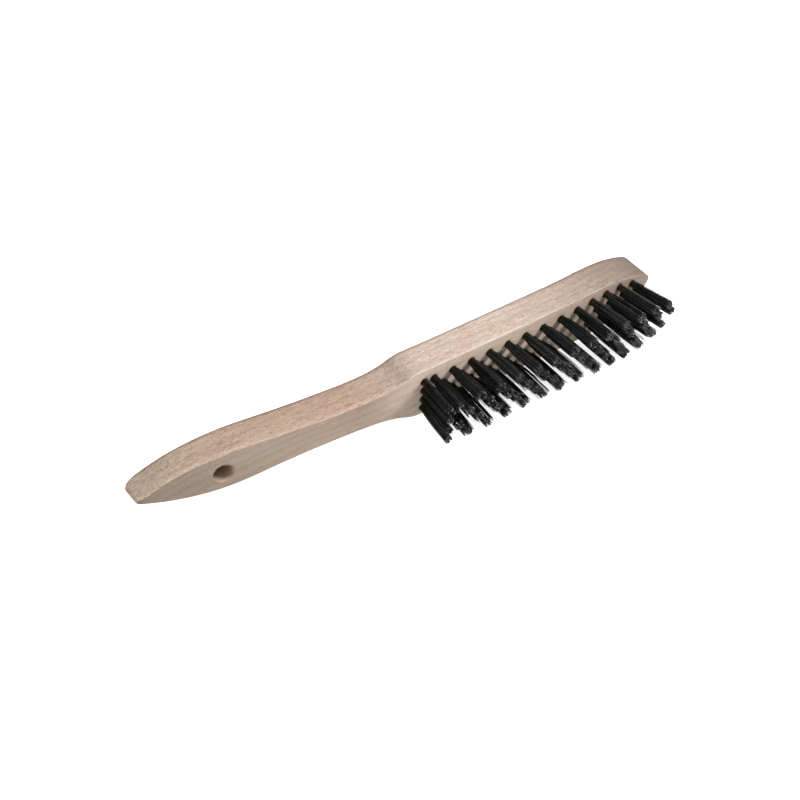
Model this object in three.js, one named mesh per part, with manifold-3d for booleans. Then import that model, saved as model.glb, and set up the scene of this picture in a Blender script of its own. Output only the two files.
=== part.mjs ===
// Wire scratch brush: a one-piece beech handle and four rows of steel wire tufts.
//
// Millimetres. The brush lies on its side, as it is put down on a bench.
// While it is being made, x runs from the handle's end to the toe, y = 0 is the
// flat of the sole (the face that the tufts stand in) and +y goes to the back,
// and z = 0 is the plane that halves the handle's width. The finished group is
// moved so that the origin is the middle of the base of the box around it.

import * as THREE from 'three';
import { mergeVertices } from 'three/addons/utils/BufferGeometryUtils.js';
import Module from 'manifold-3d';

// Driving dimensions: the plan of the wooden body
const LENGTH = 287.5;
const HALF_WIDTH = 13.8;          // half the width of the tufted block
const GRIP_HALF_WIDTH = 10.6;     // half the width of the swelling of the grip
const NECK_HALF_WIDTH = 8.1;      // half the width of the neck before the shoulders
const END_HALF_WIDTH = 2.4;       // half the width where the handle's nose begins
const NOSE_X = 4;                 // and how far that is from the end
const GRIP_X = 48;                // the swelling is widest here
const NECK_X = 106;               // the neck is narrowest here
const SHOULDER_X = 145;           // the shoulders reach the full width here
const TOE_X = 243;                // the toe starts to round here
const CURVE_STEPS = 8;            // straight facets in each curve of the outline

// Driving dimensions: the side view of the wooden body
const END_THICKNESS = 15;         // sole to back at the handle's end
const THICKNESS = 17.1;           // sole to back of the tufted block
const TOE_THICKNESS = 18;         // sole to back at the toe
const GRIP_LEAN = 0.073;          // the grip leans back by this much per millimetre
const GRIP_END_X = 108;           // the straight grip ends and the bend begins
const FLAT_X = 169;               // the bend ends and the flat sole begins
const TOE_RISE_X = 230;           // the sole starts to turn up here
const TOE_RADIUS = 304;           // radius of the turned-up sole
const END_ROUND = 6;              // rounding of the handle's end, seen from the side
const END_LIFT = 1;               // the sole is sanded back by this much at the end
const LIFT_START_X = 45;          // from here
const LIFT_END_X = 15;            // to here
const FACET_STEP = 9;             // length of the facets along the sole and the back

// Driving dimensions: the holes
const HANG_HOLE_RADIUS = 5;
const HANG_HOLE_X = 40.9;
const HANG_HOLE_Z = -0.5;         // drilled a little off the middle
const HANG_HOLE_SIDES = 24;
const TUFT_HOLE_RADIUS = 2;
const TUFT_HOLE_DEPTH = 11;

// Driving dimensions: the tufts
const ROW_SPLAY = [3, 1, -1, -3]; // sideways lean of each row, in degrees
const TOE_SPLAY = [0, -1, -2.5, -4]; // and at the toe
const TUFTS_IN_ROW = [14, 14, 14, 13];
const TUFT_PITCH = 10.76;         // between tufts of one row
const TOE_PITCH = [9.5, 9.1, 8.8, 8.5]; // they stand closer at the toe
const TOE_PITCH_STEP = 8;         // after this many steps
const FIRST_TUFT_X = 144.4;
const LAST_TUFT_X = 273.2;        // the last tuft of the first row
const ROW_SPACING = 5.25;
const ROW_SPREAD = 1.2;           // the rows stand this much further apart at the toe
const SPREAD_START_X = 215;       // they change to the toe's spacing and lean from here
const SPREAD_END_X = 250;         // to here
const ROW_LEAST = 4.9;            // least distance between rows where the toe narrows
const ROWS_OFFSET = -1.52;        // the rows are drilled a little off the middle
const TOP_MARGIN = 4.25;          // wood left between the first row and the edge
const BOTTOM_MARGIN = 4.2;        // wood left between the last row and the edge
const FAN_HEEL = -4;              // lean of the first tufts, towards the handle, in degrees
const FAN_TOE = 4.5;              // lean of the last tufts, beyond the sole's own turn
const TRIM = 24.4;                // wire that stands out of the wood
const TUFT_ROOT_RADIUS = 1.75;
const HEEL_TIP_RADIUS = 2.2;      // the first tufts flare the least
const TUFT_TIP_RADIUS = 2.9;
const TOE_TIP_RADIUS = 2.45;
const TUFT_TIP_ROUND = 0.6;
const TUFT_CLEARANCE = 0.3;       // between a tuft's fold and the bottom of its hole
const TUFT_SIDES = 10;            // flat sides of a tuft and of its hole

const CUT_LENGTH = 60;            // more than the body's thickness and its width

const wasm = await Module();
wasm.setup();

// A closed three.js geometry as a solid that can be cut and joined.
function toSolid(geometry) {
  const bare = geometry.index ? geometry.toNonIndexed() : geometry.clone();
  bare.deleteAttribute('normal');
  bare.deleteAttribute('uv');
  const merged = mergeVertices(bare, 1e-4);
  return new wasm.Manifold(new wasm.Mesh({
    numProp: 3,
    vertProperties: new Float32Array(merged.attributes.position.array),
    triVerts: new Uint32Array(merged.index.array),
  }));
}

function toGeometry(solid) {
  const mesh = solid.getMesh();
  const geometry = new THREE.BufferGeometry();
  geometry.setAttribute('position', new THREE.BufferAttribute(mesh.vertProperties, 3));
  geometry.setIndex(new THREE.BufferAttribute(mesh.triVerts, 1));
  geometry.computeVertexNormals();
  return geometry;
}

// How far the sole is sanded back towards the handle's end.
function endLift(x) {
  return END_LIFT * (1 - THREE.MathUtils.smoothstep(x, LIFT_END_X, LIFT_START_X));
}

// Height of the sole at x: a straight grip that leans back, a gentle bend,
// the flat of the block, and a toe that turns up along an arc.
function soleY(x) {
  const bend = FLAT_X - GRIP_END_X;
  if (x < GRIP_END_X) return GRIP_LEAN * (GRIP_END_X - x + bend / 2) + endLift(x);
  if (x < FLAT_X) return (GRIP_LEAN * (FLAT_X - x) ** 2) / (2 * bend);
  if (x < TOE_RISE_X) return 0;
  return (x - TOE_RISE_X) ** 2 / (2 * TOE_RADIUS);
}

// The angle that the sole makes with the x axis, at the tufts.
function soleTurn(x) {
  if (x < FLAT_X) return Math.atan((GRIP_LEAN * (x - FLAT_X)) / (FLAT_X - GRIP_END_X));
  return Math.atan(Math.max(x - TOE_RISE_X, 0) / TOE_RADIUS);
}

function thicknessAt(x) {
  const grip = Math.min(x / NECK_X, 1);
  const toe = Math.max((x - TOE_RISE_X) / (LENGTH - TOE_RISE_X), 0);
  const gripLoss = (THICKNESS - END_THICKNESS) * (1 - grip) ** 2;
  return THICKNESS - gripLoss - endLift(x) + (TOE_THICKNESS - THICKNESS) * toe;
}

// One half of the plan outline, from the handle's end round to the toe.
function halfOutline() {
  const path = new THREE.Path();
  path.moveTo(0, 0);
  path.bezierCurveTo(0, 1.1, 1.6, 1.5, NOSE_X, END_HALF_WIDTH);
  path.bezierCurveTo(13, 5.9, 24, GRIP_HALF_WIDTH, GRIP_X, GRIP_HALF_WIDTH);
  path.bezierCurveTo(60, GRIP_HALF_WIDTH, 72, NECK_HALF_WIDTH, NECK_X, NECK_HALF_WIDTH);
  path.bezierCurveTo(121, NECK_HALF_WIDTH, 127.3, 9.2, 133, 11.2);
  path.bezierCurveTo(137, 12.9, 139.5, HALF_WIDTH, SHOULDER_X, HALF_WIDTH);
  path.lineTo(TOE_X, HALF_WIDTH);
  path.bezierCurveTo(255, HALF_WIDTH, 264, 12.1, 271, 9.7);
  path.bezierCurveTo(277, 7.6, LENGTH, 4.2, LENGTH, 0);
  return path.getPoints(CURVE_STEPS);
}

const OUTLINE = halfOutline();

function halfWidthAt(x) {
  const next = OUTLINE.findIndex((point) => point.x > x);
  const a = OUTLINE[next - 1];
  const b = OUTLINE[next];
  return a.y + ((b.y - a.y) * (x - a.x)) / (b.x - a.x);
}

// The plan outline, drawn out through more than the body's thickness.
function planSolid() {
  const mirrored = OUTLINE.slice(1, -1).reverse().map((point) => new THREE.Vector2(point.x, -point.y));
  const shape = new THREE.Shape([...OUTLINE, ...mirrored]);
  const geometry = new THREE.ExtrudeGeometry(shape, { depth: CUT_LENGTH, bevelEnabled: false });
  geometry.rotateX(-Math.PI / 2);
  geometry.translate(0, -CUT_LENGTH / 3, 0);
  return toSolid(geometry);
}

// The side view, drawn out across more than the body's width. It reaches a
// little past both ends, where the plan outline is the limit.
function sideSolid() {
  const past = 0.5;
  const sole = [];
  for (let x = END_ROUND; x < LENGTH; x += FACET_STEP) {
    sole.push(new THREE.Vector2(x, soleY(x)));
  }
  sole.push(new THREE.Vector2(LENGTH + past, soleY(LENGTH)));
  const back = sole.map((point) => new THREE.Vector2(point.x, point.y + thicknessAt(point.x)));
  const firstBack = back[0];
  const endSole = soleY(0);
  const endBack = endSole + thicknessAt(0);
  const shape = new THREE.Shape([...sole, ...back.reverse()]);
  shape.currentPoint.copy(firstBack);
  shape.quadraticCurveTo(-past, endBack - past, -past, endBack - END_ROUND);
  shape.lineTo(-past, endSole + END_ROUND / 2);
  shape.quadraticCurveTo(-past, endSole, sole[0].x, sole[0].y);
  const geometry = new THREE.ExtrudeGeometry(shape, {
    depth: CUT_LENGTH,
    bevelEnabled: false,
    curveSegments: 4,
  });
  geometry.translate(0, 0, -CUT_LENGTH / 2);
  return toSolid(geometry);
}

// Where one tuft's axis meets the sole, and the way its wires point. Towards
// the toe the rows spread out, and then they follow the outline inwards.
function tuftPlace(row, number) {
  const staggered = row % 2 === 0 && number > 0;
  const steps = staggered ? number - 0.5 : number;
  const toeSteps = Math.max(steps - TOE_PITCH_STEP, 0);
  const x = FIRST_TUFT_X + (steps - toeSteps) * TUFT_PITCH + toeSteps * TOE_PITCH[row];
  const toe = THREE.MathUtils.smoothstep(x, SPREAD_START_X, SPREAD_END_X);
  const straightZ = ROWS_OFFSET + (1.5 - row) * (ROW_SPACING + ROW_SPREAD * toe);
  const highest = halfWidthAt(x) - TOP_MARGIN - row * ROW_LEAST;
  const lowest = BOTTOM_MARGIN - halfWidthAt(x);
  const z = Math.max(lowest, Math.min(highest, straightZ));
  const along = (x - FIRST_TUFT_X) / (LAST_TUFT_X - FIRST_TUFT_X);
  const fan = THREE.MathUtils.degToRad(FAN_HEEL + (FAN_TOE - FAN_HEEL) * along) + soleTurn(x);
  const splay = THREE.MathUtils.degToRad(THREE.MathUtils.lerp(ROW_SPLAY[row], TOE_SPLAY[row], toe));
  const pastHeel = THREE.MathUtils.smoothstep(x, FIRST_TUFT_X, FIRST_TUFT_X + TUFT_PITCH);
  const flared = THREE.MathUtils.lerp(HEEL_TIP_RADIUS, TUFT_TIP_RADIUS, pastHeel);
  return {
    name: `tuft_r${row + 1}_${String(number + 1).padStart(2, '0')}`,
    root: new THREE.Vector3(x, soleY(x), z),
    direction: new THREE.Vector3(Math.sin(fan), -Math.cos(fan), Math.sin(splay)).normalize(),
    tipRadius: THREE.MathUtils.lerp(flared, TOE_TIP_RADIUS, toe),
  };
}

function tuftPlaces() {
  return TUFTS_IN_ROW.flatMap((count, row) => Array.from({ length: count }, (_, i) => tuftPlace(row, i)));
}

// A turned shape on a tuft's axis. The profile is a list of [radius, height],
// with the height measured out of the wood from the sole.
function turnedOnAxis(profile, place) {
  const points = profile.map(([radius, height]) => new THREE.Vector2(radius, height));
  const geometry = new THREE.LatheGeometry(points, TUFT_SIDES);
  const turn = new THREE.Quaternion().setFromUnitVectors(new THREE.Vector3(0, 1, 0), place.direction);
  geometry.applyQuaternion(turn);
  geometry.translate(place.root.x, place.root.y, place.root.z);
  return geometry;
}

function tuftHole(place) {
  const pastSole = 3;
  return toSolid(turnedOnAxis([
    [0, -TUFT_HOLE_DEPTH],
    [TUFT_HOLE_RADIUS, -TUFT_HOLE_DEPTH],
    [TUFT_HOLE_RADIUS, pastSole],
    [0, pastSole],
  ], place));
}

// The outer shape of one folded bundle: straight in its hole, flaring outside.
function tuftGeometry(place) {
  const fold = TUFT_CLEARANCE - TUFT_HOLE_DEPTH;
  return turnedOnAxis([
    [0, fold],
    [TUFT_ROOT_RADIUS, fold],
    [TUFT_ROOT_RADIUS, 0.5],
    [(TUFT_ROOT_RADIUS + place.tipRadius) / 2, TRIM * 0.35],
    [place.tipRadius, TRIM - TUFT_TIP_ROUND],
    [place.tipRadius - TUFT_TIP_ROUND, TRIM],
    [0, TRIM],
  ], place);
}

function hangHole() {
  const geometry = new THREE.CylinderGeometry(
    HANG_HOLE_RADIUS,
    HANG_HOLE_RADIUS,
    CUT_LENGTH,
    HANG_HOLE_SIDES,
  );
  geometry.translate(HANG_HOLE_X, soleY(HANG_HOLE_X), HANG_HOLE_Z);
  return toSolid(geometry);
}

function handleGeometry(places) {
  let handle = planSolid().intersect(sideSolid()).subtract(hangHole());
  for (const place of places) handle = handle.subtract(tuftHole(place));
  return toGeometry(handle);
}

const brush = new THREE.Group();

function addMesh(name, geometry, material) {
  const mesh = new THREE.Mesh(geometry, material);
  mesh.name = name;
  brush.add(mesh);
}

const beech = new THREE.MeshStandardMaterial({ color: 0xc9b09a, roughness: 0.75, metalness: 0 });
const darkWire = new THREE.MeshStandardMaterial({ color: 0x2c302f, roughness: 0.45, metalness: 0.8 });

const places = tuftPlaces();
addMesh('handle', handleGeometry(places), beech);
for (const place of places) addMesh(place.name, tuftGeometry(place), darkWire.clone());

const box = new THREE.Box3().setFromObject(brush);
const boxMiddle = box.getCenter(new THREE.Vector3());
brush.position.set(-boxMiddle.x, -boxMiddle.y, -box.min.z);

export default brush;
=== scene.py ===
"""Looks of the wire scratch brush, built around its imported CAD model.

The brush lies on its side on a pale floor. Lengths are in millimetres in brush
coordinates: x runs from the handle's end to the toe, y = 0 is the flat of the sole
and +y goes to the back, z = 0 halves the width. in_frame() takes them to the frame.
"""

import math

import bmesh
import bpy
import numpy as np
from mathutils import Matrix, Vector, noise


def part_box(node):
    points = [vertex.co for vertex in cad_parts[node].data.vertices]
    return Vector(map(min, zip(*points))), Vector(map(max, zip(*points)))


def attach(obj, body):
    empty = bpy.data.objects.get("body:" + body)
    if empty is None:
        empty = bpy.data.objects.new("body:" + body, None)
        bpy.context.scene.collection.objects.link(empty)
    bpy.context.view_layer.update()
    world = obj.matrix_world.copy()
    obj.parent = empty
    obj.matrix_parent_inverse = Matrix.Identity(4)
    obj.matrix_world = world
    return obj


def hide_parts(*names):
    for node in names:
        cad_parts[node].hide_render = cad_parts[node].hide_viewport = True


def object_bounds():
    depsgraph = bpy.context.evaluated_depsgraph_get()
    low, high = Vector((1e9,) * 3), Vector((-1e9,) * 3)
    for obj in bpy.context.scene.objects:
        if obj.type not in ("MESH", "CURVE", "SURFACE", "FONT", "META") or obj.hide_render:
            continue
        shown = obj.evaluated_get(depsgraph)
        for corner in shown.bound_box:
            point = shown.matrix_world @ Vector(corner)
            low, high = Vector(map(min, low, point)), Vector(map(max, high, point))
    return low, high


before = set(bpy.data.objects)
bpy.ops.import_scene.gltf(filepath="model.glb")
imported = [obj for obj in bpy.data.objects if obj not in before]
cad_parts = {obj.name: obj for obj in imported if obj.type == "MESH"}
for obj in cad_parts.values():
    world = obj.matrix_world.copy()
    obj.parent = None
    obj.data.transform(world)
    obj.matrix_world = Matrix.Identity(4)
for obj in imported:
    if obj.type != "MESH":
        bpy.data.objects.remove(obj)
CAD_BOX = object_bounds()

MM = 0.001
HANDLE_LOW, HANDLE_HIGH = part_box("handle")
ORIGIN = np.array([HANDLE_LOW.x, HANDLE_LOW.y, (HANDLE_LOW.z + HANDLE_HIGH.z) / 2])
LENGTH = (HANDLE_HIGH.x - HANDLE_LOW.x) / MM
HALF_WIDTH = (HANDLE_HIGH.z - HANDLE_LOW.z) / 2 / MM

# The wooden body, seen from above the sole
GRIP_HALF_WIDTH = 10.6    # at the swelling of the grip
NECK_HALF_WIDTH = 8.1
END_HALF_WIDTH = 2.4      # where the handle's nose begins
NOSE_X = 4                # and how far that is from the end
GRIP_X = 48               # the swelling is widest here
NECK_X = 106              # the neck is narrowest here
SHOULDER_X = 145          # the shoulders reach the full width here
TOE_X = 243               # the toe starts to round here

# The wooden body, seen from the side
END_THICKNESS = 15
THICKNESS = 17.1          # of the tufted block
TOE_THICKNESS = 18
GRIP_LEAN = 0.073         # the grip leans back by this much per millimetre
GRIP_END_X = 108          # the straight grip ends and the bend begins
FLAT_X = 169              # the bend ends and the flat sole begins
TOE_RISE_X = 230          # the sole starts to turn up here
TOE_RADIUS = 304          # radius of the turned-up sole
END_ROUND = 6             # rounding of the handle's end
END_PAST = 0.5            # the rounding is drawn this far past the end
END_LIFT = 1              # the sole is sanded back by this much at the end
LIFT_START_X = 45         # from here
LIFT_END_X = 15           # to here

# The wooden body's eased edges and fine mesh
SOLE_EASE = 0.3           # radius of the sanded edges of the sole
BACK_EASE = 1.1           # and of the back
END_EASE = 0.5            # the back's at the handle's end
TOE_EASE = 1.9            # the back's at the toe, where it grows
TOE_EASE_X = (273, 285)   # over this stretch
CROWN = 0.45              # the grip's sides draw in by this much at the sole
CROWN_HEIGHT = 3.5        # over this height
SPACING = 1.1             # between mesh sections along the body
END_SPACING = 0.4         # and near its two ends
SPACING_CHANGE = (3, 16)  # between these distances from an end
BLOCK_POINTS = 200        # on the straight side, before the sections are spaced
EASE_STEPS = 5            # mesh sections round an eased edge
WALL_STEPS = 16           # up the sides
CAP_STEPS = 24            # and across the sole and the back
SANDING_DEPTH = 0.05      # unevenness that sanding leaves
SMOOTH_WOOD = math.radians(38)    # sharper edges of the wood stay sharp

# Where the wood's marks and its painted light and shade lie
HIGHLIGHT_GRIP_BAND = 3.0      # height of the pale band above the grip's sole, a painted highlight
HIGHLIGHT_BLOCK_BAND = 0.7     # and above the block's
RIM_SHADE_BAND = 1.5            # height of the painted shade band below the back
RIM_SHADE_FADE = 0.6            # over which it fades
HANG_SHADE_START = 4.0    # the hanging hole is darkened with painted shade between these depths
HANG_SHADE_FULL = 7.0
HANG_SHADE_MARGIN = 0.4   # and this far round it, where its wall is uneven
HIGHLIGHT_SIDE = (1.6, 0.5)    # how the painted highlight band starts at the side and fades inwards
RIM_SHADE_SIDE = (1.8, 0.9)     # and how the painted shade band below the back does
RING_REACH = 0.7           # the wood darkens this far past a tuft's hole
RING_FADE = 1.3            # and fades over this

# Where the wood's tone changes, from the middle of the brush towards the toe. The paler block is
# painted light and the darker toe is painted shade, for light that falls off along the body
SIDE_TONE_X = (-40, 3)    # the sides turn paler towards the block, painted light
SOLE_TONE_X = (-34, 10)   # and so does the sole, painted light
TOE_SHADE_X = (38, 146)    # all of it turns darker towards the toe, painted shade
NOSE_SHADE_X = (126, 143)  # and once more over the toe's end, painted shade
END_TONE_X = (-75, -145)  # towards the handle's end the sides turn paler, the sole darker

# Colours, as linear red, green and blue
GRIP_SIDE_WOOD = (0.335, 0.250, 0.197)
BLOCK_SIDE_WOOD = (0.395, 0.330, 0.283)
GRIP_SOLE_WOOD = (0.200, 0.160, 0.127)
BLOCK_SOLE_WOOD = (0.450, 0.378, 0.318)
TUFT_RING_DARK = (0.06, 0.043, 0.032)
BLACK_WIRE = (0.003, 0.0038, 0.0036)
GREY_WIRE = (0.075, 0.084, 0.078)
WIRE_SCALE = (0.010, 0.011, 0.0115)
WOOD_REFLECTION_WIRE = (0.070, 0.062, 0.036)
GLINT_WIRE = (0.30, 0.32, 0.31)
DULL_CUT = (0.003, 0.0032, 0.0032)
GREY_CUT = (0.014, 0.015, 0.0148)
GLINT_CUT = (0.36, 0.38, 0.37)
DARK_ANCHOR = (0.30, 0.30, 0.29)
PALE_ANCHOR = (0.50, 0.50, 0.48)
DARK_FLOOR = (0.94, 0.94, 0.94)
PALE_FLOOR = (0.95, 0.95, 0.95)

# What each layer of the wood's pattern multiplies its colour by
BROAD_TINT = (0.78, 0.74, 0.70)
LATE_WOOD_TINT = (0.82, 0.76, 0.72)
BLUSH_TINT = (1.0, 0.86, 0.82)
STREAK_TINT = (0.72, 0.66, 0.62)
PALE_STREAK_TINT = (1.15, 1.17, 1.19)
PORE_TINT = (0.62, 0.56, 0.52)
FLECK_TINT = (0.71, 0.61, 0.58)
FINE_FLECK_TINT = (0.74, 0.64, 0.60)
END_SIDE_TINT = (1.26, 1.38, 1.42)
END_GRAIN_TINT = (0.80, 0.77, 0.74)
END_SOLE_TINT = (0.72, 0.70, 0.66)
TOE_SHADE_TINT = (0.36, 0.34, 0.32)
NOSE_SHADE_TINT = (0.68, 0.67, 0.65)
HIGHLIGHT_TINT = (1.16, 1.18, 1.20)
RIM_SHADE_TINT = (0.45, 0.42, 0.40)
DEEP_SHADE_TINT = (0.20, 0.13, 0.085)

# And what the tips multiply the wire's by
TIP_TINT = (0.55, 0.55, 0.55)

# The holes
HANG_HOLE_X = 40.9
HANG_HOLE_Z = -0.5        # drilled a little off the middle
HANG_HOLE_RADIUS = 5
HANG_HOLE_SIDES = 96
SPLINTERS = (
    # degrees round the hole, length, half its width in degrees
    (30, 0.9, 5),
    (44, 1.5, 6),
    (60, 1.1, 5),
    (74, 1.7, 6),
    (92, 1.1, 5),
    (108, 0.7, 6),
)
TUFT_HOLE_RADIUS = 2
TUFT_HOLE_DEPTH = 11
TUFT_HOLE_SIDES = 20

# The tufts
ROW_SPLAY = [3, 1, -1, -3]            # sideways lean of each row, in degrees
TOE_SPLAY = [0, -1, -2.5, -4]         # and at the toe
TUFTS_IN_ROW = [14, 14, 14, 13]
TUFT_PITCH = 10.76                    # between tufts of one row
TOE_PITCH = [9.5, 9.1, 8.8, 8.5]      # they stand closer at the toe
TOE_PITCH_STEP = 8                    # after this many steps
FIRST_TUFT_X = 144.4
LAST_TUFT_X = 273.2
ROW_SPACING = 5.25
ROW_SPREAD = 1.2          # the rows stand this much further apart at the toe
SPREAD_START_X = 215      # they change to the toe's spacing and lean from here
SPREAD_END_X = 250        # to here
ROW_LEAST = 4.9           # least distance between rows where the toe narrows
ROWS_OFFSET = -1.52       # the rows are drilled a little off the middle
TOP_MARGIN = 4.25         # wood left between the first row and the edge
BOTTOM_MARGIN = 4.2       # and between the last row and the edge
FAN_HEEL = -4             # lean of the first tufts, towards the handle, in degrees
FAN_TOE = 4.5             # lean of the last tufts, beyond the sole's own turn
TRIM = 24.4               # wire that stands out of the wood
HEEL_TIP_RADIUS = 2.2     # of the bundles; the first ones flare the least
TUFT_TIP_RADIUS = 2.9
TOE_TIP_RADIUS = 2.45
TIP_GAIN = 1.15           # the outer wires' centres spread to the tip radius by this factor
TIP_LESS = 0.52           # less this

# The wires
WIRE_RADIUS = 0.165
WIRE_PITCH = 0.385        # between wires in the hole
BUNDLE_RADIUS = 1.72      # the wires' centres lie inside this, in the hole
ANCHOR_CLEARANCE = 0.03   # between the anchor and the wires beside it
WIRE_SIDES = 6
FREE_STEPS = 9            # mesh sections along a wire's free part
SPREAD_POWER = 3.8        # how soon the wires spread; 1 is evenly along their length
CLUMPS = 9                # in a bundle, each with its own length and lean
CLUMP_SHORTER = 0.9       # the most that a clump is shorter than its bundle
CLUMP_LEAN = 0.16         # scatter of the clumps' tips
TUFT_LEAN = 0.2           # of the bundles' tips
TIP_SCATTER = 0.24        # and of the wires' tips
STRAY_SHARE = 0.035       # this share of the wires strays
STRAY_SCATTER = 1.0       # by this scatter
WOBBLE = 0.07             # scatter of the wires' waves
WAVES = 1.5               # half waves in a wire
SHEAR_SCATTER = 0.35      # in the wires' lengths
TUFT_SHORTER = 0.2        # the most that a bundle is shorter than the trim
TUFT_SPLIT = 0.25         # the most that each half of a bundle leans away from the other
SIDE_CLEARANCE = 0.1      # between the wires and the planes of the block's sides
FOLD_STEPS = 6
FOLD_DEPTH = 8.9          # the wires start to fold here, inside the hole
FOLD_DROP = 0.3           # depth of a fold round the anchor
FOLD_DROP_GAIN = 0.85     # and what it gains per millimetre from the anchor

# The anchors
ANCHOR_LENGTH = 3.8
ANCHOR_HEIGHT = 2.2
ANCHOR_THICKNESS = 0.3
ANCHOR_DEPTH = 9.25       # the anchor's lower edge
ANCHOR_CORNER = 0.5       # its lower corners are cut by this much
ANCHOR_EASE = 0.06        # of its edges
SMOOTH_ANCHOR = math.radians(30)      # sharper edges of it stay sharp
ANCHOR_TURN = (35, 15)    # mean turn in the hole and its scatter, in degrees

# The camera, the light and the floor
CAMERA_AIM = (132.57, 2.5, -0.57)
CAMERA_DISTANCE = 824
CAMERA_AZIMUTH = math.radians(-38.31)
CAMERA_ELEVATION = math.radians(43.57)
CAMERA_ROLL = math.radians(3.535)
CAMERA_LENS = 81
CAMERA_SENSOR = 36
KEY_AIM = (150, 0, 0)
KEY_DIRECTION = (0.60, -0.36, 0.66)   # from there to the lamp
KEY_DISTANCE = 0.70                   # metres, like its size
KEY_SIZE = 0.24
KEY_POWER = 8.4
KEY_COLOUR = (1.0, 0.985, 0.96)
SKY_STRENGTH = 0.85
FLOOR_GLOW = 0.8
FLOOR_REACH = 3.0                     # metres from the middle to each edge

SEED = 42


def in_frame(points):
    """Brush coordinates in millimetres to the frame's metres."""
    return np.asarray(points, float) * MM + ORIGIN


# ---------------------------------------------------------------- camera, light

def make_camera():
    """A camera that looks at the aim, turned by azimuth, elevation and roll."""
    a, e, r = CAMERA_AZIMUTH, CAMERA_ELEVATION, CAMERA_ROLL
    right = Vector((math.cos(a), math.sin(a), 0))
    back = Vector((math.sin(a) * math.cos(e), -math.cos(a) * math.cos(e), math.sin(e)))
    up = back.cross(right)
    rolled_right = math.cos(r) * right + math.sin(r) * up
    rolled_up = math.cos(r) * up - math.sin(r) * right
    turn = Matrix((rolled_right, rolled_up, back)).transposed()
    aim = Vector(in_frame(CAMERA_AIM))
    camera = bpy.data.objects.new("camera", bpy.data.cameras.new("camera"))
    bpy.context.scene.collection.objects.link(camera)
    camera.data.lens = CAMERA_LENS
    camera.data.sensor_width = CAMERA_SENSOR
    camera.data.clip_start = 0.01
    camera.matrix_world = Matrix.Translation(aim + back * CAMERA_DISTANCE * MM) @ turn.to_4x4()
    bpy.context.scene.camera = camera


def make_key_light():
    """A square lamp high beside the toe, on the wires' side."""
    lamp = bpy.data.lights.new("key", "AREA")
    lamp.size = KEY_SIZE
    lamp.energy = KEY_POWER
    lamp.color = KEY_COLOUR
    light = bpy.data.objects.new("key", lamp)
    bpy.context.scene.collection.objects.link(light)
    towards = Vector(KEY_DIRECTION).normalized()
    light.location = Vector(in_frame(KEY_AIM)) + towards * KEY_DISTANCE
    light.rotation_euler = towards.to_track_quat("Z", "Y").to_euler()


def make_sky():
    """Even white light from all round, and untouched tones in the picture."""
    world = bpy.data.worlds.new("studio")
    world.use_nodes = True
    sky = world.node_tree.nodes["Background"]
    sky.inputs["Color"].default_value = (1, 1, 1, 1)
    sky.inputs["Strength"].default_value = SKY_STRENGTH
    bpy.context.scene.world = world
    bpy.context.scene.view_settings.view_transform = "Standard"


# ---------------------------------------------------------------- material helpers

def add_node(tree, kind, settings=None, **inputs):
    """A node with its settings and inputs. An input is a number, a colour or a socket."""
    made = tree.nodes.new(kind)
    for key, value in (settings or {}).items():
        setattr(made, key, value)
    for key, value in inputs.items():
        socket = made.inputs[key.replace("_", " ")]
        if isinstance(value, bpy.types.NodeSocket):
            tree.links.new(value, socket)
        else:
            socket.default_value = value
    return made


def math_node(tree, operation, a, b=0.0):
    """The result of a maths node. a and b are numbers or sockets."""
    made = tree.nodes.new("ShaderNodeMath")
    made.operation = operation
    for socket, value in zip(made.inputs, (a, b)):
        if isinstance(value, bpy.types.NodeSocket):
            tree.links.new(value, socket)
        else:
            socket.default_value = value
    return made.outputs[0]


def product(tree, a, b):
    return math_node(tree, "MULTIPLY", a, b)


def total(tree, a, b):
    return math_node(tree, "ADD", a, b)


def ramp(tree, value, low, high, to_low=0.0, to_high=1.0):
    """value from low..high to to_low..to_high with soft ends."""
    made = add_node(tree, "ShaderNodeMapRange", {"interpolation_type": "SMOOTHSTEP"}, Value=value)
    made.inputs["From Min"].default_value = low
    made.inputs["From Max"].default_value = high
    made.inputs["To Min"].default_value = to_low
    made.inputs["To Max"].default_value = to_high
    return made.outputs["Result"]


def mixed(tree, share, a, b, blend="MIX"):
    """Colours a and b mixed. share, a and b are values or sockets."""
    made = tree.nodes.new("ShaderNodeMix")
    made.data_type = "RGBA"
    made.blend_type = blend
    for socket, value in ((made.inputs[0], share), (made.inputs[6], a), (made.inputs[7], b)):
        if isinstance(value, bpy.types.NodeSocket):
            tree.links.new(value, socket)
        elif socket.type == "RGBA":
            socket.default_value = (*value, 1)
        else:
            socket.default_value = value
    return made.outputs[2]


def in_grains(tree, x, y, z):
    """Object coordinates counted in grains of this many millimetres along each axis."""
    place = tree.nodes.new("ShaderNodeTexCoord").outputs["Object"]
    made = add_node(tree, "ShaderNodeMapping", Vector=place)
    made.inputs["Scale"].default_value = (1 / (x * MM), 1 / (y * MM), 1 / (z * MM))
    return made.outputs["Vector"]


def noise_at(tree, grain, detail=2.0, roughness=0.5):
    """Noise with grains of this many millimetres along x, y and z."""
    made = add_node(tree, "ShaderNodeTexNoise", Vector=in_grains(tree, *grain))
    made.inputs["Scale"].default_value = 1
    made.inputs["Detail"].default_value = detail
    made.inputs["Roughness"].default_value = roughness
    return made.outputs["Fac"]


def attribute(tree, name):
    """A value that paint_attribute() gave to the mesh's points."""
    made = tree.nodes.new("ShaderNodeAttribute")
    made.attribute_name = name
    return made.outputs["Fac"]


def new_material(name):
    """The material, its node tree and its shader."""
    made = bpy.data.materials.new(name)
    made.use_nodes = True
    return made, made.node_tree, made.node_tree.nodes["Principled BSDF"]


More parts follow.
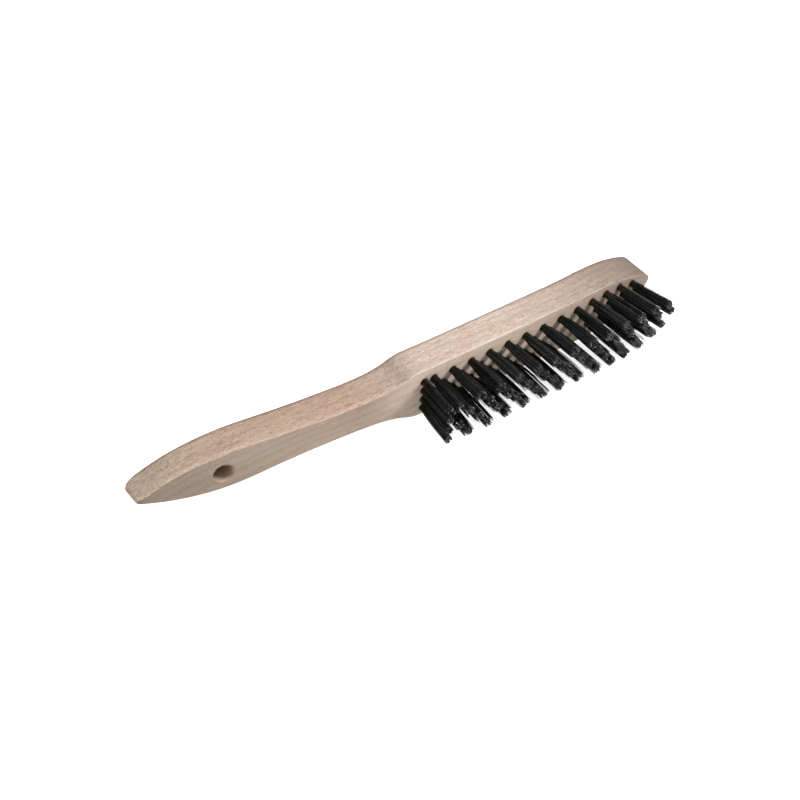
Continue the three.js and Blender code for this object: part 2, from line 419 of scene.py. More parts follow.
def bump(tree, height, distance, strength, under=None):
    """A normal bumped by height, at most distance millimetres deep, over another bump."""
    made = add_node(tree, "ShaderNodeBump", Height=height, Strength=strength)
    made.inputs["Distance"].default_value = distance * MM
    if under is not None:
        tree.links.new(under, made.inputs["Normal"])
    return made.outputs["Normal"]


# ---------------------------------------------------------------- materials

def growth_rings(tree):
    """Share of late wood: rings around a pith beside the blank, bent by a slow noise."""
    pith_y, pith_z = -52, -38
    ring_width = 3.1
    bent_by = 9.0
    place = add_node(tree, "ShaderNodeSeparateXYZ", Vector=in_grains(tree, 1, 1, 1))
    off_y = math_node(tree, "SUBTRACT", place.outputs["Y"], pith_y)
    off_z = math_node(tree, "SUBTRACT", place.outputs["Z"], pith_z)
    squares = total(tree, math_node(tree, "POWER", off_y, 2.0), math_node(tree, "POWER", off_z, 2.0))
    radius = math_node(tree, "SQRT", squares)
    bend = product(tree, noise_at(tree, (90, 16, 16), 2), bent_by)
    turns = math_node(tree, "DIVIDE", total(tree, radius, bend), ring_width)
    return ramp(tree, math_node(tree, "FRACT", turns), 0.45, 0.98)


def ray_flecks(tree, grain, size, keep):
    """Short spindles along the grain, as beech's rays show. keep is the share that shows."""
    core, fade = 0.45, 0.12
    cells = add_node(tree, "ShaderNodeTexVoronoi", {"feature": "F1"}, Vector=in_grains(tree, *grain))
    cells.inputs["Scale"].default_value = 1
    inside = ramp(tree, cells.outputs["Distance"], size, size * core)
    chance = add_node(tree, "ShaderNodeSeparateColor", Color=cells.outputs["Color"])
    kept = ramp(tree, chance.outputs[0], 1 - keep, 1 - keep + fade)
    return product(tree, inside, kept)


def wood_facing(tree):
    """Shares of the sole's or back's look, of the sides' look and of an end's.

    They come from the way the surface faces. A little of the sides' look stays on the sole.
    """
    sides_loss = 0.7
    geometry = tree.nodes.new("ShaderNodeNewGeometry")
    normal = add_node(tree, "ShaderNodeSeparateXYZ", Vector=geometry.outputs["Normal"])
    on_sole = ramp(tree, math_node(tree, "ABSOLUTE", normal.outputs["Y"]), 0.6, 0.9)
    on_side = math_node(tree, "SUBTRACT", 1.0, product(tree, on_sole, sides_loss))
    on_end = ramp(tree, math_node(tree, "ABSOLUTE", normal.outputs["X"]), 0.1, 0.8)
    return on_sole, on_side, on_end


def beech_material():
    """Raw sanded beech: pinkish sides, a greyer sole and back, painted paler along the block as
    painted light, and darker towards the toe as painted shade.
    """
    made, tree, shader = new_material("beech")
    x = add_node(tree, "ShaderNodeSeparateXYZ", Vector=in_grains(tree, 1, 1, 1)).outputs["X"]
    on_sole, on_side, on_end = wood_facing(tree)
    # paler towards the block: painted light
    side = mixed(tree, ramp(tree, x, *SIDE_TONE_X), GRIP_SIDE_WOOD, BLOCK_SIDE_WOOD)
    sole = mixed(tree, ramp(tree, x, *SOLE_TONE_X), GRIP_SOLE_WOOD, BLOCK_SOLE_WOOD)
    colour = mixed(tree, on_sole, side, sole)
    broad = noise_at(tree, (60, 9, 9), 3, 0.55)
    blush = noise_at(tree, (4.5, 1.6, 1.6), 2, 0.6)
    streaks = noise_at(tree, (5, 0.6, 0.6), 3, 0.65)
    pale_streaks = noise_at(tree, (3, 0.8, 0.8), 2, 0.55)
    pores = noise_at(tree, (1.1, 0.22, 0.22), 2, 0.6)
    flecks = ray_flecks(tree, (2.4, 0.9, 0.9), 0.34, 0.75)
    fine_flecks = ray_flecks(tree, (1.4, 0.6, 0.6), 0.34, 0.6)
    near_end = ramp(tree, x, *END_TONE_X)
    layers = (
        (ramp(tree, broad, 0.3, 0.7, 0, 0.5), BROAD_TINT),
        (product(tree, growth_rings(tree), 0.5), LATE_WOOD_TINT),
        (ramp(tree, blush, 0.48, 0.70, 0, 0.8), BLUSH_TINT),
        (product(tree, ramp(tree, streaks, 0.46, 0.70), on_side), STREAK_TINT),
        (product(tree, ramp(tree, pale_streaks, 0.50, 0.72), on_side), PALE_STREAK_TINT),
        (ramp(tree, pores, 0.55, 0.75, 0, 0.6), PORE_TINT),
        (product(tree, flecks, on_side), FLECK_TINT),
        (product(tree, fine_flecks, on_side), FINE_FLECK_TINT),
        (product(tree, near_end, on_side), END_SIDE_TINT),
        (on_end, END_GRAIN_TINT),
        (product(tree, near_end, on_sole), END_SOLE_TINT),
        # painted shade towards the toe, and once more over its end
        (ramp(tree, x, *TOE_SHADE_X), TOE_SHADE_TINT),
        (ramp(tree, x, *NOSE_SHADE_X), NOSE_SHADE_TINT),
        # painted highlight: a pale band above the sole's edge
        (attribute(tree, "painted_highlight"), HIGHLIGHT_TINT),
        # painted shade below the back's rounded edge
        (attribute(tree, "rim"), RIM_SHADE_TINT),
        # painted shade deep in the hanging hole
        (attribute(tree, "deep"), DEEP_SHADE_TINT),
    )
    for share, tint in layers:
        colour = mixed(tree, share, colour, tint, "MULTIPLY")
    # darker wood round each tuft's hole
    dark_ring = product(tree, attribute(tree, "dark_ring"), ramp(tree, broad, 0.25, 0.75, 0.45, 0.85))
    tree.links.new(mixed(tree, dark_ring, colour, TUFT_RING_DARK), shader.inputs["Base Color"])
    roughness = ramp(tree, total(tree, streaks, pores), 0.7, 1.4, 0.75, 0.58)
    tree.links.new(roughness, shader.inputs["Roughness"])
    shader.inputs["Specular IOR Level"].default_value = 0.25
    hollows = total(tree, pores, product(tree, flecks, 0.5))
    grain = bump(tree, product(tree, hollows, -1.0), 0.06, 0.6)
    sanding = bump(tree, noise_at(tree, (22, 1.6, 1.6), 2), 0.25, 0.35, grain)
    tree.links.new(sanding, shader.inputs["Normal"])
    return made


def wire_material():
    """Oil-tempered steel: nearly black, each wire a little different.

    It is browner at the wood, as a painted reflection of it, and darker at the tips, with painted
    glints there.
    """
    made, tree, shader = new_material("tempered_steel")
    tone = math_node(tree, "POWER", attribute(tree, "tone"), 2.0)
    colour = mixed(tree, tone, BLACK_WIRE, GREY_WIRE)
    scale_marks = noise_at(tree, (0.9, 2.6, 0.9), 3, 0.6)
    colour = mixed(tree, ramp(tree, scale_marks, 0.5, 0.75, 0, 0.5), colour, WIRE_SCALE)
    along = attribute(tree, "along")
    # painted reflection of the wood on the wires near the roots
    colour = mixed(tree, ramp(tree, along, 0.25, 0.0, 0, 0.45), colour, WOOD_REFLECTION_WIRE)
    colour = mixed(tree, ramp(tree, along, 0.7, 0.98), colour, TIP_TINT, "MULTIPLY")
    # painted glints on the wires towards the tips
    specks = ramp(tree, noise_at(tree, (0.35, 0.45, 0.35), 1), 0.68, 0.72)
    painted_highlight = product(tree, specks, ramp(tree, along, 0.45, 0.8))
    tree.links.new(mixed(tree, painted_highlight, colour, GLINT_WIRE), shader.inputs["Base Color"])
    shader.inputs["Metallic"].default_value = 0.85
    tree.links.new(ramp(tree, scale_marks, 0.3, 0.7, 0.34, 0.52), shader.inputs["Roughness"])
    tree.links.new(bump(tree, scale_marks, 0.02, 0.3), shader.inputs["Normal"])
    return made


def cut_steel_material():
    """The wires' sheared ends: dull dark steel, with painted glints on a few of them."""
    made, tree, shader = new_material("cut_steel")
    grey = noise_at(tree, (0.15, 0.15, 0.15), 2)
    dull = mixed(tree, ramp(tree, grey, 0.3, 0.7), DULL_CUT, GREY_CUT)
    # painted glints on a few of the cut ends
    glinting = ramp(tree, attribute(tree, "tone"), 0.89, 0.91)
    tree.links.new(mixed(tree, glinting, dull, GLINT_CUT), shader.inputs["Base Color"])
    shader.inputs["Metallic"].default_value = 1
    shader.inputs["Roughness"].default_value = 0.5
    return made


def anchor_material():
    """Flat steel wire, unevenly grey."""
    made, tree, shader = new_material("anchor_steel")
    marks = noise_at(tree, (0.8, 0.3, 0.8), 3)
    colour = mixed(tree, ramp(tree, marks, 0.35, 0.7), DARK_ANCHOR, PALE_ANCHOR)
    tree.links.new(colour, shader.inputs["Base Color"])
    shader.inputs["Metallic"].default_value = 1
    tree.links.new(ramp(tree, marks, 0.3, 0.7, 0.3, 0.5), shader.inputs["Roughness"])
    return made


def floor_material():
    """A pale photo table that glows, so that the shadows on it are faint."""
    made, tree, shader = new_material("pale_floor")
    mottle = noise_at(tree, (60, 60, 60), 2)
    colour = mixed(tree, ramp(tree, mottle, 0.3, 0.7), DARK_FLOOR, PALE_FLOOR)
    tree.links.new(colour, shader.inputs["Base Color"])
    shader.inputs["Roughness"].default_value = 0.8
    shader.inputs["Emission Color"].default_value = (1, 1, 1, 1)
    shader.inputs["Emission Strength"].default_value = FLOOR_GLOW
    return made


# ---------------------------------------------------------------- the body's shape

def smooth_step(x, low, high):
    """0 below low, 1 above high, and softly from one to the other between them."""
    share = np.clip((x - low) / (high - low), 0, 1)
    return share * share * (3 - 2 * share)


def end_lift(x):
    """How far the sole is sanded back towards the handle's end."""
    return END_LIFT * (1 - smooth_step(x, LIFT_END_X, LIFT_START_X))


def sole_y(x):
    """Height of the sole: a straight grip that leans back, a bend, the flat, a risen toe."""
    x = np.asarray(x, float)
    bend = FLAT_X - GRIP_END_X
    grip = GRIP_LEAN * (GRIP_END_X - x + bend / 2) + end_lift(x)
    bent = GRIP_LEAN * (FLAT_X - x) ** 2 / (2 * bend)
    toe = (x - TOE_RISE_X) ** 2 / (2 * TOE_RADIUS)
    after_bend = np.where(x < TOE_RISE_X, 0, toe)
    return np.where(x < GRIP_END_X, grip, np.where(x < FLAT_X, bent, after_bend))


def sole_turn(x):
    """The angle that the sole makes with the x axis, at the tufts."""
    if x < FLAT_X:
        return math.atan(GRIP_LEAN * (x - FLAT_X) / (FLAT_X - GRIP_END_X))
    return math.atan(max(x - TOE_RISE_X, 0) / TOE_RADIUS)


def thickness(x):
    """From the sole to the back at x."""
    grip_loss = (THICKNESS - END_THICKNESS) * (1 - np.minimum(x / NECK_X, 1)) ** 2
    past_rise = np.maximum((x - TOE_RISE_X) / (LENGTH - TOE_RISE_X), 0)
    toe_gain = (TOE_THICKNESS - THICKNESS) * past_rise
    return THICKNESS - grip_loss - end_lift(x) + toe_gain


def sole_and_back(x):
    """The body's lowest and highest y at x. The handle's end is rounded by two curves."""
    x = np.asarray(x, float)
    sole = sole_y(x)
    back = sole + thickness(x)
    start_sole = sole_y(END_ROUND)
    start_back = start_sole + thickness(END_ROUND)
    end_sole = sole_y(0.0)
    end_back = end_sole + thickness(0.0)
    q = np.sqrt(np.clip((x + END_PAST) / (END_ROUND + END_PAST), 0, 1))
    p = 1 - q
    round_sole = q * q * start_sole + 2 * q * p * end_sole + p * p * (end_sole + END_ROUND / 2)
    lowered = end_back - END_PAST
    round_back = q * q * start_back + 2 * q * p * lowered + p * p * (end_back - END_ROUND)
    return np.where(x < END_ROUND, round_sole, sole), np.where(x < END_ROUND, round_back, back)


def bezier(points, steps=120):
    """Points on the cubic curve with these four control points."""
    a, b, c, d = (np.array(p, float) for p in points)
    t = np.linspace(0, 1, steps)[:, None]
    return (1 - t) ** 3 * a + 3 * t * (1 - t) ** 2 * b + 3 * t * t * (1 - t) * c + t**3 * d


def fine_outline():
    """Many points (x, z) from the handle's end round one side to the toe."""
    nose = (NOSE_X, END_HALF_WIDTH)
    grip = (GRIP_X, GRIP_HALF_WIDTH)
    neck = (NECK_X, NECK_HALF_WIDTH)
    inflexion = (133, 11.2)
    shoulder = (SHOULDER_X, HALF_WIDTH)
    toe_start = (TOE_X, HALF_WIDTH)
    toe_corner = (271, 9.7)
    stretches = [
        bezier([(0, 0), (0, 1.1), (1.6, 1.5), nose]),
        bezier([nose, (13, 5.9), (24, GRIP_HALF_WIDTH), grip]),
        bezier([grip, (60, GRIP_HALF_WIDTH), (72, NECK_HALF_WIDTH), neck]),
        bezier([neck, (121, NECK_HALF_WIDTH), (127.3, 9.2), inflexion]),
        bezier([inflexion, (137, 12.9), (139.5, HALF_WIDTH), shoulder]),
        np.linspace(shoulder, toe_start, BLOCK_POINTS),
        bezier([toe_start, (255, HALF_WIDTH), (264, 12.1), toe_corner]),
        bezier([toe_corner, (277, 7.6), (LENGTH, 4.2), (LENGTH, 0)]),
    ]
    return np.vstack([stretches[0]] + [stretch[1:] for stretch in stretches[1:]])


def half_outline():
    """The fine outline with its points spaced anew, closer together at the ends."""
    fine = fine_outline()
    step = np.linalg.norm(np.diff(fine, axis=0), axis=1)
    from_end = np.minimum(fine[1:, 0], LENGTH - fine[1:, 0])
    wanted = np.interp(from_end, SPACING_CHANGE, [END_SPACING, SPACING])
    count = np.concatenate([[0], np.cumsum(step / wanted)])
    stations = np.linspace(0, count[-1], int(count[-1]))
    return np.stack([np.interp(stations, count, fine[:, i]) for i in (0, 1)], axis=1)


OUTLINE = half_outline()


def half_width(x):
    """Half of the body's width at x."""
    return np.interp(x, OUTLINE[:, 0], OUTLINE[:, 1])


def outward(outline):
    """Unit normals of the half outline, straight along x at its two ends."""
    along = np.gradient(outline, axis=0)
    normals = np.stack([-along[:, 1], along[:, 0]], axis=1)
    normals /= np.linalg.norm(normals, axis=1)[:, None]
    normals[0] = (-1, 0)
    normals[-1] = (1, 0)
    return normals


def edge_rings():
    """(part, inset, share) of each ring from the sole's edge up to the back's.

    The inset is a share of the edge's radius. The other share is how far the ring
    is up its part, where the back's edge counts down from the back.
    """
    angles = np.linspace(0, math.pi / 2, EASE_STEPS)
    rings = [("sole", 1 - math.sin(a), 1 - math.cos(a)) for a in angles]
    rings += [("wall", 0, share**1.5) for share in np.linspace(0, 1, WALL_STEPS + 1)[1:-1]]
    rings += [("back", 1 - math.sin(a), 1 - math.cos(a)) for a in angles[::-1]]
    return rings


def body_rings(outline):
    """The closed rings of points round the body, from the sole's eased edge to the back's."""
    x = outline[:, 0]
    normals = outward(outline)
    ease_x = [0, NOSE_X, *TOE_EASE_X]
    back_ease = np.interp(x, ease_x, [END_EASE, BACK_EASE, BACK_EASE, TOE_EASE])
    crown = CROWN * (1 - smooth_step(x, NECK_X, SHOULDER_X)) * smooth_step(x, 0, NOSE_X)
    sole, back = sole_and_back(x)
    wall = back - sole - SOLE_EASE - back_ease
    rings = []
    for part, inset, share in edge_rings():
        heights = {
            "sole": SOLE_EASE * share,
            "wall": SOLE_EASE + wall * share,
            "back": back - sole - back_ease * share,
        }
        from_sole = np.clip(heights[part] / CROWN_HEIGHT, 0, 1)
        ease = back_ease if part == "back" else SOLE_EASE
        drawn_in = ease * inset + crown * (1 - from_sole) ** 2
        flat = outline - normals * drawn_in[:, None]
        y = sole_and_back(flat[:, 0])[0] + heights[part]
        near = np.stack([flat[:, 0], y, np.maximum(flat[:, 1], 0)], axis=1)
        far = near[1:-1][::-1] * (1, 1, -1)
        rings.append(np.vstack([near, far]))
    return rings


def between_rows(row, after):
    """Faces between two rows of points. A row may be a single point."""
    if len(row) == 1:
        return [(row[0], a, b) for a, b in zip(after, after[1:])]
    if len(after) == 1:
        return [(a, after[0], b) for a, b in zip(row, row[1:])]
    return [(a, c, d, b) for a, b, c, d in zip(row, row[1:], after, after[1:])]


def cap_faces(vertices, base, around):
    """Closes the ring that starts at base with rows of faces across it, and adds their points."""
    half = around // 2
    rows = [[base]]
    for i in range(1, half):
        near, far = base + i, base + around - i
        row = [near]
        for share in np.linspace(0, 1, CAP_STEPS + 1)[1:-1]:
            point = (1 - share) * np.array(vertices[near]) + share * np.array(vertices[far])
            vertices.append(tuple(point))
            row.append(len(vertices) - 1)
        rows.append(row + [far])
    rows.append([base + half])
    faces = []
    for row, after in zip(rows, rows[1:]):
        faces += between_rows(row, after)
    return faces


def loft_body():
    """Vertices and faces of the body before its holes are cut."""
    rings = body_rings(OUTLINE)
    around = len(rings[0])
    vertices = [tuple(p) for ring in rings for p in ring]
    faces = []
    for level in range(len(rings) - 1):
        low, high = level * around, (level + 1) * around
        for i in range(around):
            j = (i + 1) % around
            faces.append((low + i, low + j, high + j, high + i))
    for level in (0, len(rings) - 1):
        faces += cap_faces(vertices, level * around, around)
    return vertices, faces


def sanded(vertices):
    """Moves each point in by up to SANDING_DEPTH, unevenly, along y and z."""
    grain_y, grain_z = 9, 7
    long_grain, other_grain, elsewhere = 17, 13, 50
    moved = []
    for x, y, z in vertices:
        sole, back = sole_and_back(x)
        middle = (sole + back) / 2
        across_y, across_z = y / grain_y, z / grain_z
        dip_y = noise.noise(Vector((x / long_grain, across_y, across_z)))
        dip_z = noise.noise(Vector((x / other_grain + elsewhere, across_y, across_z)))
        dip_y = SANDING_DEPTH * (0.5 + 0.5 * dip_y)
        dip_z = SANDING_DEPTH * (0.5 + 0.5 * dip_z)
        y += dip_y if y < middle else -dip_y
        z -= math.copysign(min(dip_z, abs(z)), z)
        moved.append((x, y, z))
    return moved


def new_object(name, vertices, faces, materials=()):
    """A smooth mesh object from points in brush coordinates, with its normals outward."""
    mesh = bpy.data.meshes.new(name)
    mesh.from_pydata(in_frame(vertices).tolist(), [], faces)
    work = bmesh.new()
    work.from_mesh(mesh)
    bmesh.ops.recalc_face_normals(work, faces=work.faces)
    work.to_mesh(mesh)
    work.free()
    for material in materials:
        mesh.materials.append(material)
    mesh.shade_smooth()
    made = bpy.data.objects.new(name, mesh)
    bpy.context.scene.collection.objects.link(made)
    return made


# ---------------------------------------------------------------- tuft places and holes

def tuft_place(row, number):
    """(name, root point, direction, radius at the tip) of one tuft.

    The first and third rows stand half a step back, but for their first tuft. Towards
    the toe the rows spread out, and then they follow the outline inwards.
    """
    steps = number - 0.5 if row % 2 == 0 and number > 0 else number
    toe_steps = max(steps - TOE_PITCH_STEP, 0)
    x = FIRST_TUFT_X + (steps - toe_steps) * TUFT_PITCH + toe_steps * TOE_PITCH[row]
    toe = float(smooth_step(x, SPREAD_START_X, SPREAD_END_X))
    rows_up = (len(TUFTS_IN_ROW) - 1) / 2 - row
    z = ROWS_OFFSET + rows_up * (ROW_SPACING + ROW_SPREAD * toe)
    highest = half_width(x) - TOP_MARGIN - row * ROW_LEAST
    z = max(BOTTOM_MARGIN - half_width(x), min(highest, z))
    along = (x - FIRST_TUFT_X) / (LAST_TUFT_X - FIRST_TUFT_X)
    fan = math.radians(FAN_HEEL + (FAN_TOE - FAN_HEEL) * along) + sole_turn(x)
    splay = math.radians(ROW_SPLAY[row] + (TOE_SPLAY[row] - ROW_SPLAY[row]) * toe)
    direction = Vector((math.sin(fan), -math.cos(fan), math.sin(splay))).normalized()
    past_heel = float(smooth_step(x, FIRST_TUFT_X, FIRST_TUFT_X + TUFT_PITCH))
    flared = HEEL_TIP_RADIUS + (TUFT_TIP_RADIUS - HEEL_TIP_RADIUS) * past_heel
    tip_radius = flared + (TOE_TIP_RADIUS - flared) * toe
    root = np.array([x, float(sole_y(x)), z])
    return f"r{row + 1}_{number + 1:02d}", root, np.array(direction), tip_radius


def tuft_places():
    return [tuft_place(row, i) for row, count in enumerate(TUFTS_IN_ROW) for i in range(count)]


def across(direction, turn=0.0):
    """Two unit vectors square to direction, turned about it."""
    side = np.cross(direction, (0, 0, 1))
    side /= np.linalg.norm(side)
    other = np.cross(direction, side)
    c, s = math.cos(turn), math.sin(turn)
    return side * c + other * s, other * c - side * s


def tube(rings):
    """Vertices and faces of a closed tube through rings of the same number of points."""
    sides = len(rings[0])
    vertices = [tuple(p) for ring in rings for p in ring]
    faces = [tuple(range(sides))[::-1]]
    for level in range(len(rings) - 1):
        low = level * sides
        for i in range(sides):
            j = (i + 1) % sides
            faces.append((low + i, low + j, low + sides + j, low + sides + i))
    faces.append(tuple(range((len(rings) - 1) * sides, len(rings) * sides)))
    return vertices, faces


def tuft_cutter(root, direction, random):
    """A drilled blind hole whose rim is slightly broken out."""
    angles = np.linspace(0, 2 * math.pi, TUFT_HOLE_SIDES, endpoint=False)
    one, two = across(direction)
    circle = np.cos(angles)[:, None] * one + np.sin(angles)[:, None] * two
    profile = (
        # height out of the wood, wider than the hole by, roughness
        (-TUFT_HOLE_DEPTH, 0, 0),
        (-1.2, 0, 0.02),
        (-0.3, 0, 0.05),
        (0.7, 0.08, 0.08),
    )
    rings = []
    for height, wider, rough in profile:
        radius = TUFT_HOLE_RADIUS + wider + rough * random.standard_normal(TUFT_HOLE_SIDES)
        rings.append(root + direction * height + circle * radius[:, None])
    past_sole, widest = 3, 0.3
    rings.append(root + direction * past_sole + circle * (TUFT_HOLE_RADIUS + widest))
    return tube(rings)


def splinter_lengths(angles):
    """How far splinters reach into the hanging hole, round its near rim."""
    lengths = np.zeros(len(angles))
    for centre, length, width in SPLINTERS:
        gap = (np.degrees(angles) - centre + 180) % 360 - 180
        lengths = np.maximum(lengths, length * np.clip(1 - np.abs(gap) / width, 0, 1))
    return lengths


def hang_hole_cutter(random):
    """The hanging hole: a small chamfer at both faces and splinters over its near rim."""
    angles = np.linspace(0, 2 * math.pi, HANG_HOLE_SIDES, endpoint=False)
    sole, back = sole_and_back(HANG_HOLE_X)
    splinters = splinter_lengths(angles)
    profile = (
        # height, wider than the hole by, share of the splinters' length
        (sole - 3, 0.6, 0),
        (sole - 0.2, 0.5, 0.6),
        (sole + 0.25, 0.15, 1),
        (sole + 0.9, 0, 0.75),
        (sole + 1.6, 0, 0),
        (sole + 5, 0, 0),
        (sole + 9, 0, 0),
        (back - 1.2, 0, 0),
        (back - 0.25, 0.1, 0),
        (back + 0.2, 0.4, 0),
        (back + 3, 0.6, 0),
    )
    rough = 0.035
    rings = []
    for y, wider, torn in profile:
        uneven = rough * random.standard_normal(HANG_HOLE_SIDES)
        radius = HANG_HOLE_RADIUS + wider - splinters * torn + uneven
        x = HANG_HOLE_X + radius * np.cos(angles)
        z = HANG_HOLE_Z + radius * np.sin(angles)
        rings.append(np.stack([x, np.full(HANG_HOLE_SIDES, y), z], axis=1))
    return tube(rings)


def cut_holes(body, places):
    """Cuts the hanging hole and every tuft's hole out of the body's mesh."""
    random = np.random.default_rng(SEED)
    vertices, faces = hang_hole_cutter(random)
    for _, root, direction, _ in places:
        more, more_faces = tuft_cutter(root, direction, random)
        faces += [tuple(i + len(vertices) for i in face) for face in more_faces]
        vertices += more
    cutter = new_object("cutter", vertices, faces)
    cut = body.modifiers.new("holes", "BOOLEAN")
    cut.operation = "DIFFERENCE"
    cut.solver = "EXACT"
    cut.object = cutter
    shape = body.evaluated_get(bpy.context.evaluated_depsgraph_get())
    mesh = bpy.data.meshes.new_from_object(shape)
    body.modifiers.clear()
    body.data = mesh
    bpy.data.objects.remove(cutter)


def paint_attribute(mesh, name, values):
    """Gives each point of the mesh a value that a material can read."""
    made = mesh.attributes.new(name, "FLOAT", "POINT")
    made.data.foreach_set("value", np.asarray(values, np.float32))


def near_side(points, start, fade):
    """1 at the body's sides and softly 0 further in."""
    from_side = half_width(points[:, 0]) - np.abs(points[:, 2])
    return np.clip(start - from_side / fade, 0, 1)


def from_nearest_tuft(points, places):
    """Distance from each point to the axis of the tuft's hole that it is in or beside."""
    far_off, past_bottom, past_sole = 99.0, 1, 2
    nearest = np.full(len(points), far_off)
    for _, root, direction, _ in places:
        off = points - root
        along = off @ direction
        radial = np.linalg.norm(off - along[:, None] * direction, axis=1)
        beside = (along > -TUFT_HOLE_DEPTH - past_bottom) & (along < past_sole)
        nearest = np.where(beside, np.minimum(nearest, radial), nearest)
    return nearest


def paint_body(mesh, places):
    """The wood's marks: a pale band above the sole's edges, a painted highlight; painted shade below
    the back and deep in the hanging hole; and darker wood round each tuft's hole.
    """
    co = np.zeros(len(mesh.vertices) * 3)
    mesh.vertices.foreach_get("co", co)
    points = (co.reshape(-1, 3) - ORIGIN) / MM
    x, y, z = points.T
    from_sole = y - sole_and_back(x)[0]
    from_back = thickness(x) - from_sole
    band = np.interp(x, [NECK_X, SHOULDER_X], [HIGHLIGHT_GRIP_BAND, HIGHLIGHT_BLOCK_BAND])
    # painted highlight in a pale band above the sole's edge
    painted_highlight = near_side(points, *HIGHLIGHT_SIDE) * np.clip(1 - from_sole / band, 0, 1)
    # painted shade below the back's rounded edge
    rim = near_side(points, *RIM_SHADE_SIDE) * np.clip((RIM_SHADE_BAND - from_back) / RIM_SHADE_FADE, 0, 1)
    from_tuft = from_nearest_tuft(points, places)
    # darker wood round each tuft's hole
    dark_ring = np.clip((TUFT_HOLE_RADIUS + RING_REACH - from_tuft) / RING_FADE, 0, 1)
    from_hang = np.hypot(x - HANG_HOLE_X, z - HANG_HOLE_Z)
    in_hang = from_hang < HANG_HOLE_RADIUS + HANG_SHADE_MARGIN
    # painted shade, darker deeper into the hanging hole
    deep = in_hang * smooth_step(from_sole, HANG_SHADE_START, HANG_SHADE_FULL)
    for name, values in (("painted_highlight", painted_highlight), ("rim", rim), ("dark_ring", dark_ring), ("deep", deep)):
        paint_attribute(mesh, name, values)


def make_body(places):
    """The handle: one piece of wood with all its holes."""
    vertices, faces = loft_body()
    body = new_object("handle_beech", sanded(vertices), faces)
    cut_holes(body, places)
    body.data.materials.clear()
    body.data.materials.append(beech_material())
    paint_body(body.data, places)
    body.data.shade_smooth()
    body.data.set_sharp_from_angle(angle=SMOOTH_WOOD)
    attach(body, "root")
    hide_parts("handle")


# ---------------------------------------------------------------- wires and anchors

def bundle_layout():
    """Where the folded wires stand in the hole: (a, b), with a measured from the anchor."""
    layout = []
    a = WIRE_RADIUS + ANCHOR_THICKNESS / 2 + ANCHOR_CLEARANCE
    shift = 0.0
    while a < BUNDLE_RADIUS:
        reach = math.sqrt(BUNDLE_RADIUS**2 - a * a)
        b = -WIRE_PITCH * (math.floor(reach / WIRE_PITCH - shift) + shift)
        while b <= reach + 1e-6:
            layout.append((a, b))
            b += WIRE_PITCH
        a += WIRE_PITCH * math.sin(math.radians(60))
        shift = 0.5 - shift
    return layout


def tuft_habits(tip_radius, random):
    """What one tuft's wires share: how clumps of them lean and how long each clump is."""
    return {
        "clumps": random.uniform(-BUNDLE_RADIUS, BUNDLE_RADIUS, (CLUMPS, 2)),
        "clump_lengths": random.uniform(-CLUMP_SHORTER, 0.0, CLUMPS),
        "clump_leans": random.normal(0, CLUMP_LEAN, (CLUMPS, 2)),
        "lean": random.normal(0, TUFT_LEAN, 2),
        "flare": (TIP_GAIN * tip_radius - TIP_LESS) / BUNDLE_RADIUS,
        "split": -random.uniform(-TUFT_SPLIT, 0.0),
        "length": TRIM - random.uniform(0.0, TUFT_SHORTER),
    }


def free_end(a, b, habits, random):
    """Offsets (a, b, height) along one wire's free part, from the sole to its cut tip."""
    place = np.array([a, b])
    clump = int(np.argmin(np.linalg.norm(habits["clumps"] - place, axis=1)))
    lean = habits["clump_leans"][clump]
    tip = place * habits["flare"] + lean + habits["lean"] + random.normal(0, TIP_SCATTER, 2)
    tip[0] += math.copysign(habits["split"], a)
    if random.random() < STRAY_SHARE:
        tip += random.normal(0, STRAY_SCATTER, 2)
    shorter = abs(random.normal(0, SHEAR_SCATTER))
    length = habits["length"] + habits["clump_lengths"][clump] - shorter
    wobble = random.normal(0, WOBBLE, 2)
    phase = random.uniform(0, math.pi)
    steps = np.linspace(0, 1, FREE_STEPS + 1)
    sway = np.sin(steps * math.pi * WAVES + phase) - math.sin(phase) * (1 - steps)
    sway *= steps > 0
    spread = 1 - (1 - steps) ** SPREAD_POWER
    offsets = place + (tip - place) * spread[:, None] + wobble * sway[:, None]
    return np.column_stack([offsets, steps * length])


def folded_wire(a, b, habits, random):
    """One wire as (a, b, height) points: a free end, down the hole, round the anchor, up again."""
    near = free_end(a, b, habits, random)[::-1]
    far = free_end(-a, b, habits, random)
    drop = FOLD_DROP + FOLD_DROP_GAIN * a
    turn = np.linspace(0, math.pi, FOLD_STEPS + 1)
    height = -FOLD_DEPTH - drop * np.sin(turn)
    fold = np.column_stack([a * np.cos(turn), np.full(len(turn), b), height])
    return np.vstack([near, fold, far])


def wire_tube(path, strip):
    """Vertices and faces of a round wire along a path that bends across the strip."""
    turns = np.linspace(0, 2 * math.pi, WIRE_SIDES, endpoint=False)
    rings = []
    for point, tangent in zip(path, np.gradient(path, axis=0)):
        tangent = tangent / np.linalg.norm(tangent)
        one = np.cross(tangent, strip)
        one /= np.linalg.norm(one)
        two = np.cross(tangent, one)
        circle = np.cos(turns)[:, None] * one + np.sin(turns)[:, None] * two
        rings.append(point + WIRE_RADIUS * circle)
    return tube(rings)


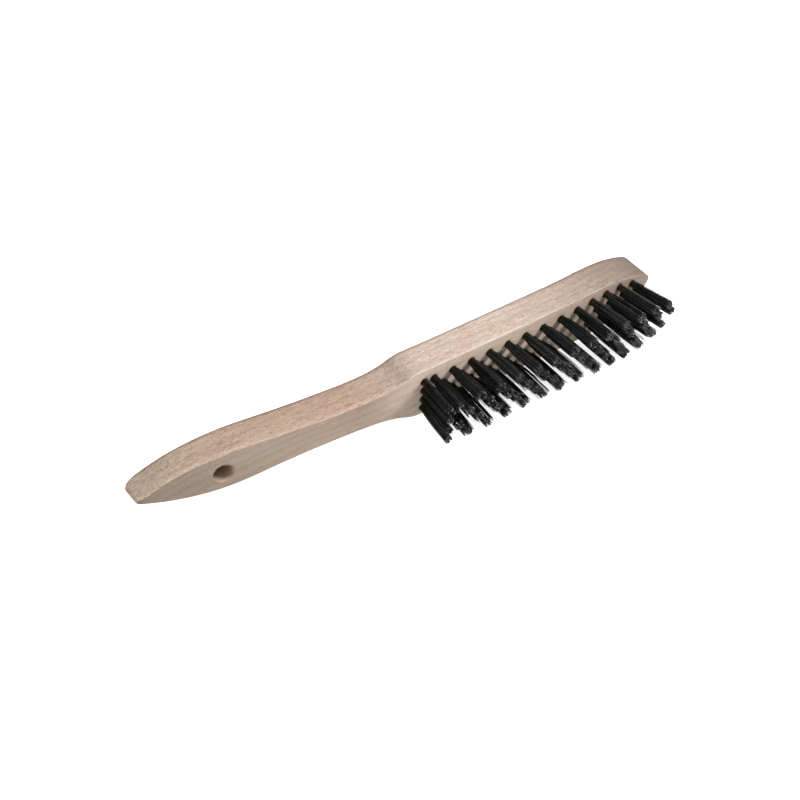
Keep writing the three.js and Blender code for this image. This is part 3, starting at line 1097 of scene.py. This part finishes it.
def make_wires(name, root, direction, strip, square, habits, random, materials):
    """All the wires of one tuft. strip runs along its anchor, and square across it."""
    side_limit = HALF_WIDTH - WIRE_RADIUS - SIDE_CLEARANCE
    vertices, faces, cut_faces, tones, alongs = [], [], [], [], []
    for a, b in bundle_layout():
        offsets = folded_wire(a, b, habits, random)
        path = root + offsets[:, :1] * square + offsets[:, 1:2] * strip + offsets[:, 2:] * direction
        path[:, 2] = np.clip(path[:, 2], -side_limit, side_limit)
        more, more_faces = wire_tube(path, strip)
        cut_faces += [len(faces), len(faces) + len(more_faces) - 1]
        faces += [tuple(i + len(vertices) for i in face) for face in more_faces]
        vertices += more
        tones += [random.uniform(0, 1)] * len(more)
        alongs += list(np.repeat(np.clip(offsets[:, 2] / TRIM, 0, 1), WIRE_SIDES))
    wires = new_object(f"wires_{name}", vertices, faces, materials)
    for face in cut_faces:
        wires.data.polygons[face].material_index = 1
        wires.data.polygons[face].use_smooth = False
    paint_attribute(wires.data, "tone", tones)
    paint_attribute(wires.data, "along", alongs)
    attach(wires, "root")
    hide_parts(f"tuft_{name}")


def anchor_shape(root, direction, strip, square):
    """A short piece of flat steel wire with its lower corners cut, across the hole."""
    half, low = ANCHOR_LENGTH / 2, -ANCHOR_DEPTH
    top, shoulder = low + ANCHOR_HEIGHT, low + ANCHOR_CORNER
    outline = [
        (-half, top),
        (half, top),
        (half, shoulder),
        (half - ANCHOR_CORNER, low),
        (-half + ANCHOR_CORNER, low),
        (-half, shoulder),
    ]
    rings = []
    for level, inset in ((-0.5, ANCHOR_EASE), (-0.3, 0), (0.3, 0), (0.5, ANCHOR_EASE)):
        middle = root + square * level * ANCHOR_THICKNESS
        ring = []
        for along, height in outline:
            along -= math.copysign(inset, along)
            height += inset if height < top else -inset
            ring.append(middle + strip * along + direction * height)
        rings.append(np.array(ring))
    return tube(rings)


def make_tufts(places):
    """Every tuft's wires and anchor."""
    wire_materials = [wire_material(), cut_steel_material()]
    anchor_steel = anchor_material()
    for index, (name, root, direction, tip_radius) in enumerate(places):
        random = np.random.default_rng(SEED + 1 + index)
        habits = tuft_habits(tip_radius, random)
        strip, square = across(direction, math.radians(random.normal(*ANCHOR_TURN)))
        make_wires(name, root, direction, strip, square, habits, random, wire_materials)
        shape = anchor_shape(root, direction, strip, square)
        anchor = new_object(f"anchor_{name}", *shape, [anchor_steel])
        anchor.data.set_sharp_from_angle(angle=SMOOTH_ANCHOR)
        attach(anchor, "root")


def make_floor():
    """The flat floor that the brush lies on."""
    low = CAD_BOX[0].z
    mesh = bpy.data.meshes.new("floor")
    signs = ((-1, -1), (1, -1), (1, 1), (-1, 1))
    corners = [(x * FLOOR_REACH, y * FLOOR_REACH, low) for x, y in signs]
    mesh.from_pydata(corners, [], [(0, 1, 2, 3)])
    mesh.materials.append(floor_material())
    floor = bpy.data.objects.new("floor", mesh)
    bpy.context.scene.collection.objects.link(floor)


make_camera()
make_key_light()
make_sky()
make_floor()
PLACES = tuft_places()
make_body(PLACES)
make_tufts(PLACES)
